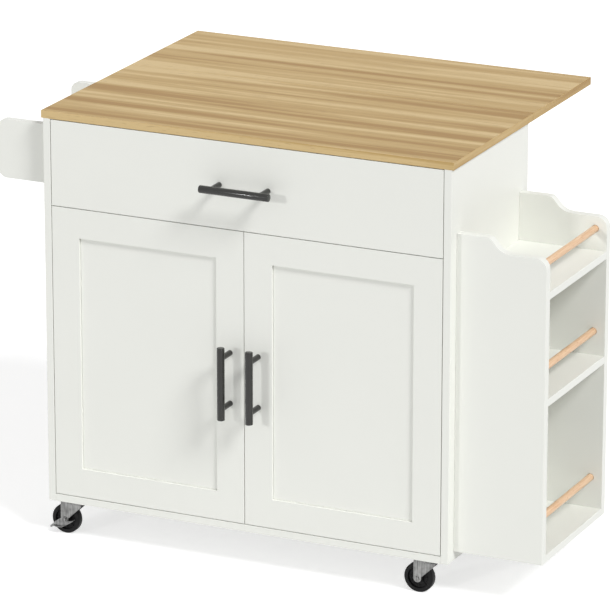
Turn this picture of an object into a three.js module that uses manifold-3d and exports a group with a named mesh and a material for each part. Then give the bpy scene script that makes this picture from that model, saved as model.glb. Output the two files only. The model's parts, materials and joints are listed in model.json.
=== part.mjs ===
// Drop leaf kitchen island on casters: a cabinet with one drawer and two doors, an oak look
// top with a rear leaf on two folding brackets, a spice rack and a towel rail on its sides.
// Millimetres, +Z up, +X to the right of someone facing the doors, +Y to the back.
// The origin lies on the floor, below the middle of the whole object's box.

import * as THREE from 'three';
import { mergeVertices } from 'three/addons/utils/BufferGeometryUtils.js';
import Module from 'manifold-3d';

const wasm = await Module();
wasm.setup();

// ---------------------------------------------------------------- driving dimensions

// Cabinet
const boardThickness = 15;
const cabinetWidth = 852;
const cabinetDepth = 368;
const cabinetHeight = 776;
const reveal = 1.5; // gap round the doors and the drawer front
const shelfHeight = 300; // underside of the inner shelf above the cabinet's bottom
const shelfSetback = 30; // the inner shelf stops this far behind the cabinet's front
const stretcherWidth = 60;

// Worktop
const topThickness = 15;
const topSideOverhang = 4;
const topRearOverhang = 12;
const leafDepth = 294.5;
const seamGap = 1;

// Drawer
const drawerFrontHeight = 170.5;
const drawerRearSpace = 18; // free space behind the drawer box when it is shut
const drawerBoxLift = 20; // underside of the drawer sides above the lower edge of the front
const drawerBoxHeadroom = 40.5; // top of the drawer sides below the upper edge of the front
const drawerBoardThickness = 12;
const drawerBottomThickness = 5;
const drawerGrooveDepth = 5;
const drawerGrooveLift = 8;
const slideRearInset = 18.5; // the slides stop this far short of the drawer box's rear
const slideHeight = 36;
const slideWall = 1.25;
const slideSpace = 12.5; // room for one slide between a drawer side and the cabinet
const slidePlay = 0.5;

// Doors
const stileWidth = 58;
const panelRecess = 5;
const cupDiameter = 35;
const cupFloor = 3.5; // board left in front of a hinge cup
const cupEdgeDistance = 22.5; // centre of a hinge cup from the door's edge
const cupEndDistance = 85; // centre of a hinge cup from the door's top or bottom
const hingeArmLength = 58;
const hingeArmWidth = 16;
const hingeArmWall = 9;
const hingeNoseWall = 20; // how far the cranked nose stands off the side panel
const hingePlateLength = 34;
const hingePlateHeight = 50;
const hingePlateWall = 2.5;

// Pulls
const pullSpacing = 101.6;
const pullLength = 145;
const pullDiameter = 15;
const pullStandoff = 40.5; // middle of the bar in front of the door
const pullPostDiameter = 11.25;
const doorPullDrop = 1.5; // middle of a door's pull below the middle of the door

// Spice rack
const rackDepth = 181; // from the cabinet's side outwards
const rackPanelThickness = 18;
const rackFrontInset = 26.5; // from the cabinet's front
const rackRearInset = 24; // from the cabinet's back
const rackLift = 19; // above the cabinet's bottom
const rackHeight = 629;
const rackShoulderLength = 61.5; // flat high part of the end panels' top edge
const rackShoulderDrop = 28;
const rackOgeeLength = 50;
const rackOgeeLowerHandle = 0.7; // reach of the curve's two handles, as parts of its length
const rackOgeeUpperHandle = 0.3;
const rackCornerRadius = 22;
// Each tier: its shelf's underside above the rack's bottom, and its rod's middle above that.
const rackTiers = {
  bottom: { shelf: 0, rod: 76 },
  middle: { shelf: 310.25, rod: 61.75 },
  top: { shelf: 519.25, rod: 57.25 },
};
const rodDiameter = 14;
const rodInset = 24.5; // rod centre from the rack's outer edge
const rodHoleDepth = 8;

// Towel rail
const towelReach = 113;
const towelPlateHeight = 118;
const towelPlateDrop = 20; // top of the plates below the underside of the worktop
const towelCornerRadius = 18;
const towelRodDiameter = 16;
const towelRodInset = 36;

// Casters
const wheelDiameter = 60;
const wheelWidth = 15;
const wheelBore = 9;
const wheelHubDiameter = 22;
const wheelDiscThickness = 6;
const wheelRimDepth = 8;
const wheelShoulder = 2.5; // bevel at each edge of the tread
const wheelDraft = 1; // lean of the hub's side and of the rim's inner side
const wheelRibCount = 8;
const wheelRibThickness = 2;
const wheelRibInset = 1.5; // the ribs end this far inside the wheel's faces
const wheelHeadroom = 6.5; // free height between the wheel and the fork's crown
const casterTrail = 26;
const casterSideInset = 47; // swivel axis from the cabinet's side face
const casterEndInset = 36; // swivel axis from the cabinet's front and back
const casterPlateLength = 60;
const casterPlateWidth = 48;
const casterPlateThickness = 2.5;
const casterScrewHole = 6;
const casterScrewInset = 8; // screw holes from the plate's edges
const raceDiameter = 42;
const raceWall = 6.25;
const raceHeight = 5;
const raceRimGap = 1; // between the fork's dish and the plate
const forkSheet = 2;
const forkGap = 2.5; // free space between the wheel and each fork leg
const forkEyeRadius = 8; // round end of each fork leg
const forkBead = 0.75; // how far the legs' upright band is pressed outwards
const forkWaist = 3; // the legs widen from this far above the axle
const forkToeReach = 10; // the fork legs' edge beyond the swivel axis
const forkToeDepth = 9; // straight part of that edge below the crown
const axleDiameter = 8;
const axleHeadLength = 3.5;

// Brake levers. Points are measured from the axle, along X and up.
const pedalSheet = 1.5;
const pedalBossSegments = 5; // of the boss's round edge
const pedalBossRadius = 6.5;
const pedalBossSpan = [-0.3, 2.4]; // the boss's round edge, in radians from the X axis
const pedalTip = [22.5, 1.5];
const pedalNeck = [9, -2];
const pedalShoulder = [-17.5, -4];
const pedalHull = [[9, -7.5], [-3, -14.5], [-14, -15.5], [-22, -14]]; // lower edge, from the tip
const pedalHeel = [-28, -16.5]; // inner upper corner of the bar that joins the two arms
const pedalBar = 3; // its width and height
const pedalLip = 6; // how far the lower edge is turned outwards

// Folding leaf brackets
const bracketSideInset = 146; // bracket's middle from the cabinet's side face
const bracketSheet = 2;
const bracketArmLength = 262;
const bracketChannelDepth = 15;
const bracketLegWidth = 20;
const bracketSideGap = 1; // between the leg's and the arm's cheeks
const bracketPivotDrop = 10; // corner pivot below the underside of the leaf
const bracketArmPivot = 180; // outer pivot from the corner pivot, along the arm
const bracketLegPivot = 120; // lower pivot from the corner pivot, down the leg
const bracketLegShortfall = 12; // the leg ends this far above the folded arm's outer pivot
const bracketScrewHole = 5;
const bracketScrewCount = 3;
const linkWidth = 10;
const linkThickness = 3;
const linkGap = 1.5; // between the brace's two straps
const pinDiameter = 6;
const collarDiameter = 10;
const pinHeadLength = 1.7;

const fitGap = 0.3; // clearance where one piece turns or seats in another
const overcut = 1; // how far a hole's cutting body runs past the faces it opens
const outlineSegments = 12; // for each curve in the outline of a large plate

// ---------------------------------------------------------------- derived places

const halfWidth = cabinetWidth / 2;
const innerHalfWidth = halfWidth - boardThickness;
const crownLow = wheelDiameter + wheelHeadroom;
const dishFloor = crownLow + forkSheet;
const plateBottom = dishFloor + raceHeight;
const cabinetBottom = plateBottom + casterPlateThickness;
const cabinetTop = cabinetBottom + cabinetHeight;
const worktopTop = cabinetTop + topThickness;
const rackOuterX = halfWidth + rackDepth;
const towelOuterX = -(halfWidth + towelReach);
const mainTopRear = cabinetDepth + topRearOverhang;
const leafFront = mainTopRear + seamGap;
const leafRear = leafFront + leafDepth;
const pullFront = -(pullStandoff + pullDiameter / 2);

const drawerFrontTop = cabinetTop - reveal;
const drawerFrontBottom = drawerFrontTop - drawerFrontHeight;
const doorTop = drawerFrontBottom - reveal;
const doorBottom = cabinetBottom + boardThickness + reveal;
const dividerMiddle = (doorTop + drawerFrontBottom) / 2;
const backInner = cabinetDepth - boardThickness;
const drawerRear = backInner - drawerRearSpace;
const rackRear = cabinetDepth - rackRearInset;
const rackFrontFaces = [rackFrontInset, rackFrontInset + rackPanelThickness];
const rackRearFaces = [rackRear - rackPanelThickness, rackRear];
const railFrontFaces = [rackFrontInset, rackFrontInset + boardThickness];
const railRearFaces = [rackRear - boardThickness, rackRear];

// ---------------------------------------------------------------- finishes

const finish = (color, roughness, metalness = 0) =>
  new THREE.MeshStandardMaterial({ color, roughness, metalness });

const whitePaint = finish('#e9e9e4', 0.45);
const oakLaminate = finish('#c9a878', 0.5);
const paleWood = finish('#e2bd8c', 0.6);
const blackMetal = finish('#4a4a46', 0.4, 0.7);
const zincSteel = finish('#a3a5a6', 0.4, 0.9);
const nickelSteel = finish('#c4c6c8', 0.3, 0.9);
const whiteSteel = finish('#e6e7e6', 0.4, 0.3);
const blackPlastic = finish('#1c1c1d', 0.5);

const island = new THREE.Group();
island.position.set(
  -(rackOuterX + towelOuterX) / 2,
  -(leafRear + pullFront) / 2,
  0,
);

// ---------------------------------------------------------------- shape helpers

const axes = ['x', 'y', 'z'];

// A box between two corners.
function boxBetween(x, y, z) {
  const geometry = new THREE.BoxGeometry(x[1] - x[0], y[1] - y[0], z[1] - z[0]);
  return geometry.translate((x[0] + x[1]) / 2, (y[0] + y[1]) / 2, (z[0] + z[1]) / 2);
}

// An outline drawn in two axes and pulled along the third, between low and high.
function extrudeAlong(axis, outline, low, high, curveSegments = 6) {
  const geometry = new THREE.ExtrudeGeometry(outline, {
    depth: high - low,
    bevelEnabled: false,
    curveSegments,
  });
  if (axis === 'y') {
    geometry.rotateX(Math.PI / 2); // outline in X and Z
    return geometry.translate(0, high, 0);
  }
  if (axis === 'x') {
    const turn = new THREE.Matrix4().set(0, 0, 1, 0, 1, 0, 0, 0, 0, 1, 0, 0, 0, 0, 0, 1);
    geometry.applyMatrix4(turn); // outline in Y and Z
    return geometry.translate(low, 0, 0);
  }
  return geometry.translate(0, 0, low); // outline in X and Y
}

// A round bar along an axis, through a point, between two places on that axis.
function roundBar(axis, centre, diameter, low, high, segments = 20) {
  const geometry = new THREE.CylinderGeometry(diameter / 2, diameter / 2, high - low, segments);
  if (axis === 'x') geometry.rotateZ(-Math.PI / 2);
  if (axis === 'z') geometry.rotateX(Math.PI / 2);
  const place = new THREE.Vector3(...centre);
  place[axis] = (low + high) / 2;
  return geometry.translate(place.x, place.y, place.z);
}

// A closed outline through points, each [u, v].
function outlineOf(points) {
  return new THREE.Shape(points.map(([u, v]) => new THREE.Vector2(u, v)));
}

function solidOf(geometry) {
  const bare = geometry.clone();
  bare.deleteAttribute('normal');
  bare.deleteAttribute('uv');
  const merged = mergeVertices(bare, 1e-4);
  return new wasm.Manifold(new wasm.Mesh({
    numProp: 3,
    vertProperties: merged.attributes.position.array,
    triVerts: new Uint32Array(merged.index.array),
  }));
}

function geometryOf(solid) {
  const mesh = solid.getMesh();
  const geometry = new THREE.BufferGeometry();
  geometry.setAttribute('position', new THREE.BufferAttribute(new Float32Array(mesh.vertProperties), 3));
  geometry.setIndex(new THREE.BufferAttribute(new Uint32Array(mesh.triVerts), 1));
  geometry.computeVertexNormals();
  return geometry;
}

// Joins the first lists of geometries and takes the second ones away.
function carve(added, removed = []) {
  let solid = solidOf(added[0]);
  for (const piece of added.slice(1)) solid = solid.add(solidOf(piece));
  for (const piece of removed) solid = solid.subtract(solidOf(piece));
  return geometryOf(solid);
}

function place(name, geometry, material, parent = island) {
  const mesh = new THREE.Mesh(geometry, material);
  mesh.name = name;
  parent.add(mesh);
  return mesh;
}

// ---------------------------------------------------------------- cabinet

function buildCabinet() {
  const inside = [-innerHalfWidth, innerHalfWidth];
  const fullHeight = [cabinetBottom, cabinetTop];
  const floorTop = cabinetBottom + boardThickness;
  const frontSeat = boardThickness + reveal; // boards behind the doors start here

  place('left_side_panel',
    boxBetween([-halfWidth, -innerHalfWidth], [0, cabinetDepth], fullHeight), whitePaint);
  place('right_side_panel',
    boxBetween([innerHalfWidth, halfWidth], [0, cabinetDepth], fullHeight), whitePaint);
  place('bottom_panel',
    boxBetween(inside, [0, cabinetDepth], [cabinetBottom, floorTop]), whitePaint);
  place('back_panel',
    boxBetween(inside, [backInner, cabinetDepth], [floorTop, cabinetTop]), whitePaint);

  const dividerLow = dividerMiddle - boardThickness / 2;
  place('drawer_divider',
    boxBetween(inside, [frontSeat, backInner], [dividerLow, dividerLow + boardThickness]), whitePaint);
  place('front_stretcher',
    boxBetween(inside, [frontSeat, frontSeat + stretcherWidth], [cabinetTop - boardThickness, cabinetTop]),
    whitePaint);

  const shelfLow = cabinetBottom + shelfHeight;
  place('inner_shelf',
    boxBetween(inside, [shelfSetback, backInner], [shelfLow, shelfLow + boardThickness]), whitePaint);
}

// ---------------------------------------------------------------- worktop and leaf

function buildTop() {
  const span = [-(halfWidth + topSideOverhang), halfWidth + topSideOverhang];
  const slab = [cabinetTop, worktopTop];
  place('main_top', boxBetween(span, [0, mainTopRear], slab), oakLaminate);
  place('drop_leaf', boxBetween(span, [leafFront, leafRear], slab), oakLaminate);
}

// ---------------------------------------------------------------- folding leaf brackets

const bracketPosition = halfWidth - bracketSideInset;
const cornerPivotY = cabinetDepth + bracketPivotDrop;
const cornerPivotZ = cabinetTop - bracketPivotDrop;
const bracketLegLength = bracketArmPivot - bracketLegShortfall;
const legHalf = bracketLegWidth / 2;
const armHalf = legHalf + bracketSideGap + bracketSheet;
const cheekDrop = bracketChannelDepth - bracketPivotDrop; // cheek edges beyond the pivot
const cheekRounding = bracketChannelDepth / 2;
const armWebLow = bracketPivotDrop - bracketSheet;
const legStrapX = [-linkGap / 2 - linkThickness, -linkGap / 2];
const armStrapX = [linkGap / 2, linkGap / 2 + linkThickness];
const braceSpan = Math.hypot(bracketArmPivot, bracketLegPivot);
const foldedSpan = bracketArmPivot - bracketLegPivot;
const braceSlope = Math.atan2(bracketLegPivot, bracketArmPivot);
// The brace lies in one line both when the leaf is up and when it is down.
const legStrapLength = (braceSpan - foldedSpan) / 2;
const armStrapLength = (braceSpan + foldedSpan) / 2;

// A flat strap with round ends and a hole at each, from (0, 0) along a slope.
function strapOutline(length, slope) {
  const outline = new THREE.Shape();
  const r = linkWidth / 2;
  const end = new THREE.Vector2(Math.cos(slope) * length, Math.sin(slope) * length);
  outline.absarc(end.x, end.y, r, slope - Math.PI / 2, slope + Math.PI / 2, false);
  outline.absarc(0, 0, r, slope + Math.PI / 2, slope + 1.5 * Math.PI, false);
  for (const hole of [new THREE.Vector2(0, 0), end]) {
    const bore = new THREE.Path().absarc(hole.x, hole.y, pinDiameter / 2 + fitGap, 0, 2 * Math.PI, true);
    outline.holes.push(bore);
  }
  return outline;
}

// Middles of a bracket's screw holes, evenly spaced along a length.
function screwPlaces(length) {
  return Array.from({ length: bracketScrewCount }, (_, i) => ((i + 0.5) * length) / bracketScrewCount);
}

// The leg's cheek in Y and Z about the corner pivot, its straight edge on the cabinet's back.
function legCheekOutline() {
  const r = cheekRounding;
  const back = -bracketPivotDrop;
  const cheek = new THREE.Shape();
  cheek.moveTo(back, -bracketLegLength);
  cheek.lineTo(cheekDrop - r, -bracketLegLength);
  cheek.absarc(cheekDrop - r, r - bracketLegLength, r, -Math.PI / 2, 0, false);
  cheek.lineTo(cheekDrop, 0);
  cheek.absarc(0, 0, cheekDrop, 0, Math.PI / 2, false);
  cheek.lineTo(back, cheekDrop);
  return cheek;
}

// The arm's cheek in Y and Z about the corner pivot, its straight edge under the leaf.
function armCheekOutline() {
  const r = cheekRounding;
  const cheek = new THREE.Shape();
  cheek.moveTo(0, bracketPivotDrop);
  cheek.lineTo(bracketArmLength, bracketPivotDrop);
  cheek.lineTo(bracketArmLength, r - cheekDrop);
  cheek.absarc(bracketArmLength - r, r - cheekDrop, r, 0, -Math.PI / 2, true);
  cheek.lineTo(0, -cheekDrop);
  return cheek;
}

function buildLeafBracket(side, sign) {
  const group = new THREE.Group();
  group.position.set(sign * bracketPosition, cornerPivotY, cornerPivotZ);
  island.add(group);

  // The leg: its web lies on the cabinet's back, and its pin carries the arm.
  const legBack = -bracketPivotDrop;
  const legPin = [0, 0, -bracketLegPivot];
  const headStart = armHalf + fitGap;
  const headEnd = headStart + pinHeadLength;
  const legScrews = screwPlaces(bracketLegLength).map((drop) =>
    roundBar('y', [0, 0, -drop], bracketScrewHole, legBack - overcut, legBack + bracketSheet + overcut, 10));
  place(`${side}_bracket_leg`, carve([
    extrudeAlong('x', legCheekOutline(), -legHalf, bracketSheet - legHalf),
    extrudeAlong('x', legCheekOutline(), legHalf - bracketSheet, legHalf),
    boxBetween([-legHalf, legHalf], [legBack, legBack + bracketSheet], [-bracketLegLength, cheekDrop]),
    roundBar('x', [0, 0, 0], pinDiameter, -headEnd, headEnd, 12),
    roundBar('x', [0, 0, 0], collarDiameter, -headEnd, -headStart, 12),
    roundBar('x', [0, 0, 0], collarDiameter, headStart, headEnd, 12),
    roundBar('x', legPin, pinDiameter, -legHalf, legStrapX[1], 12),
    roundBar('x', legPin, collarDiameter, -legHalf, legStrapX[0] - fitGap, 12),
  ], legScrews), zincSteel, group);

  // The arm: its web lies under the leaf, and its cheeks hang down outside the leg's.
  const webStart = leafFront - cornerPivotY + cheekRounding;
  const armPin = [0, bracketArmPivot, 0];
  const armScrews = screwPlaces(bracketArmLength).map((y) =>
    roundBar('z', [0, y, 0], bracketScrewHole, armWebLow - overcut, bracketPivotDrop + overcut, 10));
  place(`${side}_bracket_arm`, carve([
    extrudeAlong('x', armCheekOutline(), -armHalf, bracketSheet - armHalf),
    extrudeAlong('x', armCheekOutline(), armHalf - bracketSheet, armHalf),
    roundBar('x', [0, 0, 0], 2 * armWebLow, -armHalf, bracketSheet - armHalf, 16),
    roundBar('x', [0, 0, 0], 2 * armWebLow, armHalf - bracketSheet, armHalf, 16),
    boxBetween([-armHalf, armHalf], [webStart, bracketArmLength], [armWebLow, bracketPivotDrop]),
    roundBar('x', armPin, pinDiameter, armStrapX[0], armHalf, 12),
    roundBar('x', armPin, collarDiameter, armStrapX[1] + fitGap, armHalf, 12),
  ], [
    ...armScrews,
    roundBar('x', [0, 0, 0], pinDiameter + 2 * fitGap, -armHalf - overcut, armHalf + overcut, 12),
  ]), zincSteel, group);

  // The brace: two straps that meet at the knee.
  const legStrap = extrudeAlong('x', strapOutline(legStrapLength, braceSlope), ...legStrapX);
  place(`${side}_bracket_lower_link`, legStrap.translate(...legPin), zincSteel, group);
  const armStrap = extrudeAlong('x', strapOutline(armStrapLength, braceSlope + Math.PI), ...armStrapX);
  place(`${side}_bracket_upper_link`, armStrap.translate(...armPin), zincSteel, group);
}

// ---------------------------------------------------------------- pulls

// A bar pull: a straight bar on two posts. The bar runs along X or Z.
function pullGeometry(alongZ) {
  const half = pullLength / 2;
  const barAxis = alongZ ? 'z' : 'x';
  const pieces = [roundBar(barAxis, [0, -pullStandoff, 0], pullDiameter, -half, half)];
  for (const end of [-1, 1]) {
    const offset = (end * pullSpacing) / 2;
    const foot = alongZ ? [0, 0, offset] : [offset, 0, 0];
    pieces.push(roundBar('y', foot, pullPostDiameter, -pullStandoff, 0, 16));
  }
  return carve(pieces);
}

// ---------------------------------------------------------------- drawer

function buildDrawer() {
  const frontSpan = [-innerHalfWidth + reveal, innerHalfWidth - reveal];
  place('drawer_front',
    boxBetween(frontSpan, [0, boardThickness], [drawerFrontBottom, drawerFrontTop]), whitePaint);

  const boxHalf = innerHalfWidth - slideSpace - slidePlay / 2;
  const boxInner = boxHalf - drawerBoardThickness;
  const low = drawerFrontBottom + drawerBoxLift;
  const high = drawerFrontTop - drawerBoxHeadroom;
  const grooveLow = low + drawerGrooveLift;
  const groove = boxBetween([-boxInner - drawerGrooveDepth, boxInner + drawerGrooveDepth],
    [boardThickness - overcut, drawerRear + overcut],
    [grooveLow - fitGap, grooveLow + drawerBottomThickness + fitGap]);

  const sides = { left: [-boxHalf, -boxInner], right: [boxInner, boxHalf] };
  for (const [name, span] of Object.entries(sides)) {
    const side = boxBetween(span, [boardThickness, drawerRear], [low, high]);
    place(`drawer_${name}_side`, carve([side], [groove]), whitePaint);
  }
  place('drawer_bottom',
    boxBetween([-boxInner - drawerGrooveDepth + fitGap, boxInner + drawerGrooveDepth - fitGap],
      [boardThickness, drawerRear], [grooveLow, grooveLow + drawerBottomThickness]), whitePaint);
  place('drawer_back',
    boxBetween([-boxInner, boxInner], [drawerRear - drawerBoardThickness, drawerRear],
      [grooveLow + drawerBottomThickness, high]), whitePaint);

  const pull = place('drawer_pull', pullGeometry(false), blackMetal);
  pull.position.z = (drawerFrontBottom + drawerFrontTop) / 2;

  buildSlides(boxHalf, (low + high) / 2);
}

// Each slide is a channel on the cabinet with a smaller channel on the drawer inside it.
function buildSlides(boxHalf, middle) {
  const along = [boardThickness + reveal, drawerRear - slideRearInset];
  const channel = (webX, openX, halfHeight) => {
    const wall = webX < openX ? slideWall : -slideWall;
    return outlineOf([
      [webX, middle - halfHeight],
      [openX, middle - halfHeight],
      [openX, middle - halfHeight + slideWall],
      [webX + wall, middle - halfHeight + slideWall],
      [webX + wall, middle + halfHeight - slideWall],
      [openX, middle + halfHeight - slideWall],
      [openX, middle + halfHeight],
      [webX, middle + halfHeight],
    ]);
  };
  const outerHalf = slideHeight / 2;
  const innerHalf = outerHalf - slideWall - slidePlay;
  const railMouth = boxHalf + slideWall + slidePlay;
  const runnerMouth = innerHalfWidth - slideWall - slidePlay;
  for (const [name, sign] of [['left', -1], ['right', 1]]) {
    const rail = extrudeAlong('y', channel(sign * innerHalfWidth, sign * railMouth, outerHalf), ...along);
    const runner = extrudeAlong('y', channel(sign * boxHalf, sign * runnerMouth, innerHalf), ...along);
    place(`${name}_slide_rail`, rail, whiteSteel);
    place(`${name}_slide_runner`, runner, whiteSteel);
  }
}

// ---------------------------------------------------------------- doors

function buildDoors() {
  const frame = (outer) => [outer[0] + stileWidth, outer[1] - stileWidth];
  const height = [doorBottom, doorTop];
  const cupHeights = [doorBottom + cupEndDistance, doorTop - cupEndDistance];
  for (const [name, sign] of [['left', -1], ['right', 1]]) {
    const hingeEdge = sign * (innerHalfWidth - reveal);
    const meetingEdge = (sign * reveal) / 2;
    const width = [Math.min(hingeEdge, meetingEdge), Math.max(hingeEdge, meetingEdge)];
    const cupX = hingeEdge - sign * cupEdgeDistance;
    const cups = cupHeights.map((z) =>
      roundBar('y', [cupX, 0, z], cupDiameter, cupFloor, boardThickness + overcut, 28));
    place(`${name}_door`, carve(
      [boxBetween(width, [0, boardThickness], height)],
      [boxBetween(frame(width), [-overcut, panelRecess], frame(height)), ...cups],
    ), whitePaint);

    const pull = place(`${name}_door_pull`, pullGeometry(true), blackMetal);
    pull.position.set(meetingEdge + (sign * stileWidth) / 2, 0, (doorBottom + doorTop) / 2 - doorPullDrop);

    cupHeights.forEach((z, i) => buildHingeArm(`${name}_hinge_arm_${i ? 'upper' : 'lower'}`, sign, z));
  }
}

// A concealed hinge's arm: cranked inwards so that an inset door can close flush.
function buildHingeArm(name, sign, height) {
  const wall = (offset) => sign * (innerHalfWidth - offset);
  const start = boardThickness + reveal;
  const nose = start + hingeArmLength / 4;
  const crank = start + hingeArmLength / 2;
  const end = start + hingeArmLength;
  const arm = extrudeAlong('z', outlineOf([
    [wall(0), crank],
    [wall(hingeNoseWall - hingeArmWall), nose],
    [wall(hingeNoseWall - hingeArmWall), start],
    [wall(hingeNoseWall), start],
    [wall(hingeNoseWall), nose],
    [wall(hingeArmWall), crank],
    [wall(hingeArmWall), end],
    [wall(0), end],
  ]), height - hingeArmWidth / 2, height + hingeArmWidth / 2);
  const plateX = [wall(0), wall(hingePlateWall)].sort((a, b) => a - b);
  const plate = boxBetween(plateX, [end - hingePlateLength, end],
    [height - hingePlateHeight / 2, height + hingePlateHeight / 2]);
  place(name, carve([arm, plate]), nickelSteel);
}

// ---------------------------------------------------------------- spice rack

function buildRack() {
  const low = cabinetBottom + rackLift;
  const high = low + rackHeight;
  const shoulder = high - rackShoulderDrop;
  const inner = [rackFrontFaces[1], rackRearFaces[0]];

  // End panels: a high flat part by the cabinet, an ogee, then a low part to a rounded corner.
  const ogeeStart = halfWidth + rackShoulderLength;
  const ogeeEnd = ogeeStart + rackOgeeLength;
  const outline = new THREE.Shape();
  outline.moveTo(halfWidth, low);
  outline.lineTo(rackOuterX, low);
  outline.lineTo(rackOuterX, shoulder - rackCornerRadius);
  outline.absarc(rackOuterX - rackCornerRadius, shoulder - rackCornerRadius, rackCornerRadius,
    0, Math.PI / 2, false);
  outline.lineTo(ogeeEnd, shoulder);
  outline.bezierCurveTo(
    ogeeEnd - rackOgeeLength * rackOgeeLowerHandle, shoulder,
    ogeeStart + rackOgeeLength * rackOgeeUpperHandle, high,
    ogeeStart, high,
  );
  outline.lineTo(halfWidth, high);

  const rodX = rackOuterX - rodInset;
  const rodLow = inner[0] - rodHoleDepth;
  const rodHigh = inner[1] + rodHoleDepth;
  const tiers = Object.entries(rackTiers).map(([name, tier]) => ({
    name,
    shelfLow: low + tier.shelf,
    rodZ: low + tier.shelf + tier.rod,
  }));
  const holes = tiers.map(({ rodZ }) =>
    roundBar('y', [rodX, 0, rodZ], rodDiameter + 2 * fitGap, rodLow - fitGap, rodHigh + fitGap));
  place('rack_front_panel',
    carve([extrudeAlong('y', outline, ...rackFrontFaces, outlineSegments)], holes), whitePaint);
  place('rack_rear_panel',
    carve([extrudeAlong('y', outline, ...rackRearFaces, outlineSegments)], holes), whitePaint);

  for (const { name, shelfLow, rodZ } of tiers) {
    place(`rack_${name}_shelf`,
      boxBetween([halfWidth, rackOuterX], inner, [shelfLow, shelfLow + boardThickness]), whitePaint);
    place(`rack_${name}_rod`,
      roundBar('y', [rodX, 0, rodZ], rodDiameter, rodLow, rodHigh), paleWood);
  }
}

// ---------------------------------------------------------------- towel rail

function buildTowelRail() {
  const high = cabinetTop - towelPlateDrop;
  const low = high - towelPlateHeight;
  const r = towelCornerRadius;
  const outline = new THREE.Shape();
  outline.moveTo(-halfWidth, low);
  outline.lineTo(-halfWidth, high);
  outline.lineTo(towelOuterX + r, high);
  outline.absarc(towelOuterX + r, high - r, r, Math.PI / 2, Math.PI, false);
  outline.absarc(towelOuterX + r, low + r, r, Math.PI, 1.5 * Math.PI, false);

  const rodCentre = [towelOuterX + towelRodInset, 0, (low + high) / 2];
  const rodSpan = [railFrontFaces[1] - rodHoleDepth, railRearFaces[0] + rodHoleDepth];
  const hole = roundBar('y', rodCentre, towelRodDiameter + 2 * fitGap,
    rodSpan[0] - fitGap, rodSpan[1] + fitGap);
  for (const [name, span] of [['front', railFrontFaces], ['rear', railRearFaces]]) {
    const plate = extrudeAlong('y', outline, ...span, outlineSegments);
    place(`towel_bracket_${name}`, carve([plate], [hole]), whitePaint);
  }
  place('towel_rod', roundBar('y', rodCentre, towelRodDiameter, ...rodSpan), paleWood);
}

// ---------------------------------------------------------------- casters

const wheelRadius = wheelDiameter / 2;
const legInner = wheelWidth / 2 + forkGap;
const legOuter = legInner + forkSheet;
const bandOuter = legOuter + forkBead;
const innerRaceDiameter = raceDiameter - 2 * raceWall;

const sorted = (a, b) => [Math.min(a, b), Math.max(a, b)];

// The wheel turns about Y. Its section runs from the bore out to the tread and back.
function wheelGeometry() {
  const half = wheelWidth / 2;
  const disc = wheelDiscThickness / 2;
  const bore = wheelBore / 2;
  const hub = wheelHubDiameter / 2;
  const rim = wheelRadius - wheelRimDepth;
  const side = (s) => [
    [bore, s * half],
    [hub - wheelDraft, s * half],
    [hub, s * disc],
    [rim - wheelDraft, s * disc],
    [rim, s * half],
    [wheelRadius - wheelShoulder, s * half],
    [wheelRadius, s * (half - wheelShoulder)],
  ];
  const section = [...side(-1), ...side(1).reverse(), side(-1)[0]];
  const wheel = new THREE.LatheGeometry(section.map(([r, y]) => new THREE.Vector2(r, y)), 26);
  const ribs = [];
  const ribX = [hub - wheelDraft, rim + wheelDraft];
  const ribY = [wheelRibInset - half, half - wheelRibInset];
  for (let i = 0; i < wheelRibCount; i += 1) {
    const rib = boxBetween(ribX, ribY, [-wheelRibThickness / 2, wheelRibThickness / 2]);
    ribs.push(rib.rotateY((i * 2 * Math.PI) / wheelRibCount));
  }
  return carve([wheel, ...ribs]);
}

// A mounting plate with a screw hole at each corner, and the fixed half of the ball race.
function casterPlateGeometry() {
  const x = casterPlateLength / 2;
  const y = casterPlateWidth / 2;
  const plate = boxBetween([-x, x], [-y, y], [plateBottom, cabinetBottom]);
  const race = roundBar('z', [0, 0, 0], innerRaceDiameter, dishFloor + fitGap, plateBottom, 24);
  const holes = [];
  for (const [u, v] of [[-1, -1], [1, -1], [-1, 1], [1, 1]]) {
    const middle = [u * (x - casterScrewInset), v * (y - casterScrewInset), 0];
    holes.push(roundBar('z', middle, casterScrewHole, plateBottom - overcut, cabinetBottom + overcut, 10));
  }
  return carve([plate, race], holes);
}

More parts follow.
